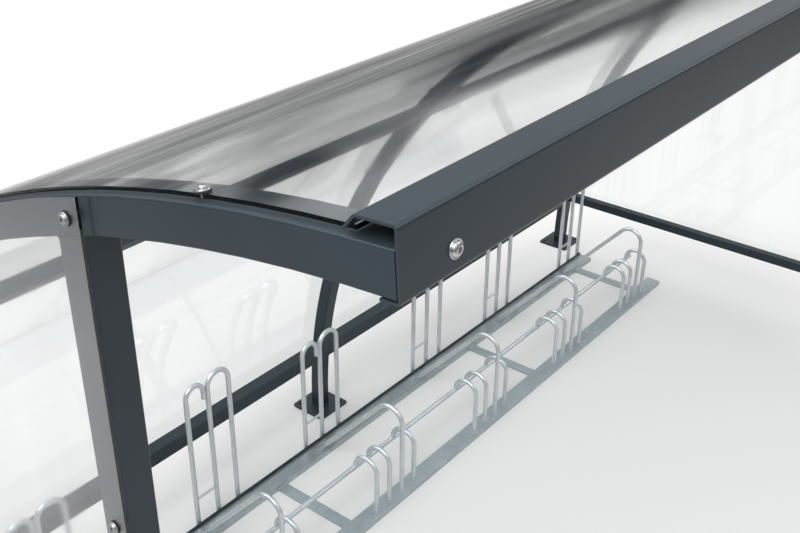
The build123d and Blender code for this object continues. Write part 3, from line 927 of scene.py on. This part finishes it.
class SHELTER_OT_stage(bpy.types.Operator):
    """Pale floor, white surroundings, soft light and the camera"""

    bl_idname = "shelter.stage"
    bl_label = "Stage"

    # Grey of the mirrored horizon: place between below it (0) and overhead (1), and brightness
    horizon = (
        (0.11, 0.36), (0.19, 0.26), (0.22, 0.16), (0.26, 0.26), (0.32, 0.13),
        (0.35, 0.19), (0.39, 0.44), (0.46, 0.55), (0.60, 0.85), (0.82, 1.1),
    )

    # Tops of its low and middle bands, from 0 at the horizon to 1 overhead, and the headings at which
    # its left and right sides begin. Each is a soft edge, from its first value to its second
    low_top = (0.10, 0.13)
    middle_top = (0.20, 0.24)
    left_from = (math.radians(50), math.radians(54))
    right_from = (math.radians(42), math.radians(38))

    # A dark card that the roof mirrors: direction and half width
    dark_card = ((0.647, 0.744, 0.165), math.radians(4))

    # Soft boxes that folds and tube edges mirror as a bright line: direction, half width and brightness
    softboxes = (
        ((-0.39, 0.63, 0.67), math.radians(16), 3.2),
        ((0.70, -0.46, 0.55), math.radians(10), 2.8),
        ((0.86, -0.33, 0.39), math.radians(8), 2.0),
        ((0.95, -0.20, 0.24), math.radians(6), 1.5),
    )

    def execute(self, context):
        self.floor()
        self.surroundings(context.scene)
        self.lamp()
        self.camera(context.scene)
        context.scene.view_settings.view_transform = "Standard"
        return {"FINISHED"}

    def floor(self):
        made, recipe = material("Pale floor")
        worn = recipe.blend(
            recipe.noise(1.4, detail=6.0) * 0.2, stage().floor_colour, (0.74, 0.74, 0.74))
        shader = recipe.add(
            "ShaderNodeBsdfPrincipled",
            sockets={"Base Color": worn, "Roughness": 0.85, "Specular IOR Level": 0.2})
        away = recipe.add(
            "ShaderNodeVectorMath", {"operation": "LENGTH"}, {0: recipe.stretched((0.62, 1.0, 1.0))},
            take="Value")
        # Beyond the shelter the floor glows instead of being lit: plain white where it is seen, and for
        # mirrored rays a painted grey, a painted reflection with painted shade near the shelter
        level = 1 - mirrored_rays(recipe) * (1 - self.painted_floor_reflection(recipe, away))
        white = recipe.add(
            "ShaderNodeBsdfPrincipled",
            sockets={
                "Base Color": (0, 0, 0, 1), "Roughness": 1.0, "Specular IOR Level": 0.0,
                "Emission Color": level, "Emission Strength": 1.0,
            })
        fade = recipe.range(away, 1.1, 1.9).or_else(recipe.range(away, 1.0, 1.4), mirrored_rays(recipe))
        faded = recipe.add("ShaderNodeMixShader", sockets={0: fade * seen_rays(recipe), 1: shader, 2: white})
        recipe.close("ShaderNodeOutputMaterial", faded)
        mesh = bmesh.new()
        bmesh.ops.create_grid(mesh, x_segments=8, y_segments=8, size=stage().floor_reach)
        data = bpy.data.meshes.new("floor")
        mesh.to_mesh(data)
        mesh.free()
        data.materials.append(made)
        floor = bpy.data.objects.new("floor", data)
        bpy.context.scene.collection.objects.link(floor)

    @staticmethod
    def painted_floor_reflection(recipe, away):
        """Painted reflection: the grey that the floor glows with for mirrored rays, by its distance. It is
        painted shade at the shelter, pale beside it, then darker and in lanes, and dim far away."""
        lanes = recipe.range(recipe.noise(0.30, detail=3.0), 0.35, 0.65, 0.6, 1.5)
        # Painted shade in the mirrored floor near the shelter, paler further out
        near = recipe.range(away, 1.3, 3.0, 0.62, 1.05)
        grey = near.or_else(stage().far_floor_reflection, recipe.range(away, 3.0, 7.0))
        grey = grey * recipe.range(away, 8.0, 28.0, 1.0, 0.5)
        return grey.or_else(grey * lanes, recipe.range(away, 5.0, 8.0))

    def surroundings(self, scene):
        """White light, and a grey horizon and soft boxes that only mirrored rays see."""
        world = bpy.data.worlds.new("Surroundings")
        scene.world = world
        recipe = Recipe(world)
        way = recipe.add("ShaderNodeTexCoord", take="Generated")
        east, north, height = [
            recipe.add("ShaderNodeSeparateXYZ", sockets={0: way}, take=axis) for axis in "XYZ"]
        turned = recipe.add("ShaderNodeMath", {"operation": "ARCTAN2"}, {0: north, 1: east})
        mirrored = self.mirrored_horizon(recipe, way, height, turned)
        for aim, wide, glow in self.softboxes:
            inside = recipe.range(recipe.towards(way, aim), math.cos(wide), math.cos(wide * 0.7), 0.0, glow)
            mirrored = mirrored + inside
        sky = stage().sky_level
        level = (sky + seen_rays(recipe) * (1 - sky)).or_else(mirrored, mirrored_rays(recipe))
        tint = recipe.blend(
            mirrored_rays(recipe) * recipe.range(height, 0.15, 0.6), (1, 1, 1), (0.80, 0.93, 1.0))
        colour = recipe.add("ShaderNodeVectorMath", {"operation": "SCALE"}, {0: tint, "Scale": level})
        shader = recipe.add("ShaderNodeBackground", sockets={"Color": colour, "Strength": 1.0})
        recipe.close("ShaderNodeOutputWorld", shader)

    def mirrored_horizon(self, recipe, way, height, turned):
        """A low and a middle band, each with a left and a right side, and mottled light above them."""
        patches = recipe.noise(1.0, detail=3.0, vector=recipe.stretched((3.0, 3.0, 5.0), way))
        grey = recipe.add(
            "ShaderNodeValToRGB", {"stops": self.horizon},
            {0: recipe.range(height + (patches - 0.5) * 0.22, -0.4, 1.0)})
        stripes = recipe.noise(1.0, detail=2.0, vector=recipe.stretched((5.0, 5.0, 18.0), way))
        stripes = recipe.range(stripes, 0.40, 0.60, 0.35, 1.8)
        mottle = recipe.range(patches, 0.38, 0.62, 0.82, 1.22)
        over_low = recipe.range(height, *self.low_top)
        over_middle = recipe.range(height, *self.middle_top)
        left = recipe.range(turned, *self.left_from)
        right = recipe.range(turned, *self.right_from)
        low = 0.70 + left * 1.25 - right * 0.36
        middle = 0.60 + left * 0.8 + right * 1.0
        shaded = low.or_else(middle, over_low).or_else(0.92 + left * 0.4, over_middle)
        aim, wide = self.dark_card
        card = recipe.range(
            recipe.towards(way, aim), math.cos(wide), math.cos(wide * 0.6), 0.0, 0.9)
        overhead = recipe.range(height, 0.5, 0.8, 1.0, 1.3)
        return grey * stripes.or_else(mottle, over_low) * shaded * (1 - card) * overhead

    def lamp(self):
        settings = stage()
        data = bpy.data.lights.new("key", "AREA")
        data.shape = "DISK"
        data.size = settings.key_size
        data.energy = settings.key_power
        lamp = bpy.data.objects.new("key", data)
        place = Vector(settings.key_place)
        aim = Vector(settings.key_aim) - place
        lamp.matrix_world = Matrix.Translation(place) @ aim.to_track_quat("-Z", "Y").to_matrix().to_4x4()
        bpy.context.scene.collection.objects.link(lamp)

    def camera(self, scene):
        settings = stage()
        data = bpy.data.cameras.new("camera")
        data.sensor_width = 36.0
        data.lens = settings.camera_lens
        data.clip_start = 0.05
        camera = bpy.data.objects.new("camera", data)
        camera.matrix_world = (
            Matrix.Translation(settings.camera_place)
            @ Matrix.Rotation(-settings.camera_heading, 4, "Z")
            @ Matrix.Rotation(math.pi / 2 - settings.camera_tilt, 4, "X")
            @ Matrix.Rotation(settings.camera_roll, 4, "Z"))
        scene.collection.objects.link(camera)
        scene.camera = camera


def seen_rays(recipe):
    """1 for what the camera sees, straight, mirrored or through the clear sheets."""
    camera = recipe.add("ShaderNodeLightPath", take="Is Camera Ray")
    glossy = recipe.add("ShaderNodeLightPath", take="Is Glossy Ray")
    through = recipe.add("ShaderNodeLightPath", take="Is Transmission Ray")
    return camera.at_least(glossy).at_least(through)


def mirrored_rays(recipe):
    """1 for what a surface mirrors, 0 for what is seen straight or through the clear sheets."""
    mirrored = recipe.add("ShaderNodeLightPath", take="Glossy Depth").at_most(1)
    return mirrored * (1 - recipe.add("ShaderNodeLightPath", take="Is Diffuse Ray"))


OPERATORS = (
    SHELTER_OT_steelwork,
    SHELTER_OT_fascia,
    SHELTER_OT_clear_sheets,
    SHELTER_OT_spacers,
    SHELTER_OT_rack,
    SHELTER_OT_fascia_bolts,
    SHELTER_OT_roof_screws,
    SHELTER_OT_panel_bolts,
    SHELTER_OT_weld_beads,
    SHELTER_OT_stage,
)


class SHELTER_PT_sidebar(bpy.types.Panel):
    """Lists the shelter's pieces"""

    bl_idname = "SHELTER_PT_sidebar"
    bl_label = "Bike Shelter"
    bl_space_type = "VIEW_3D"
    bl_region_type = "UI"
    bl_category = "Shelter"

    def draw(self, context):
        for operator in OPERATORS:
            self.layout.operator(operator.bl_idname)


GROUPS = {
    "shelter_lengths": Lengths, "shelter_fasteners": Fasteners, "shelter_colours": Colours,
    "shelter_stage": Stage,
}


def register():
    for made in (*GROUPS.values(), *OPERATORS, SHELTER_PT_sidebar):
        bpy.utils.register_class(made)
    for name, group in GROUPS.items():
        setattr(bpy.types.Scene, name, PointerProperty(type=group))


def unregister():
    for name in GROUPS:
        delattr(bpy.types.Scene, name)
    for made in reversed((*GROUPS.values(), *OPERATORS, SHELTER_PT_sidebar)):
        bpy.utils.unregister_class(made)


def main():
    register()
    for operator in OPERATORS:
        family, action = operator.bl_idname.split(".")
        getattr(getattr(bpy.ops, family), action)()


if __name__ == "__main__":
    main()
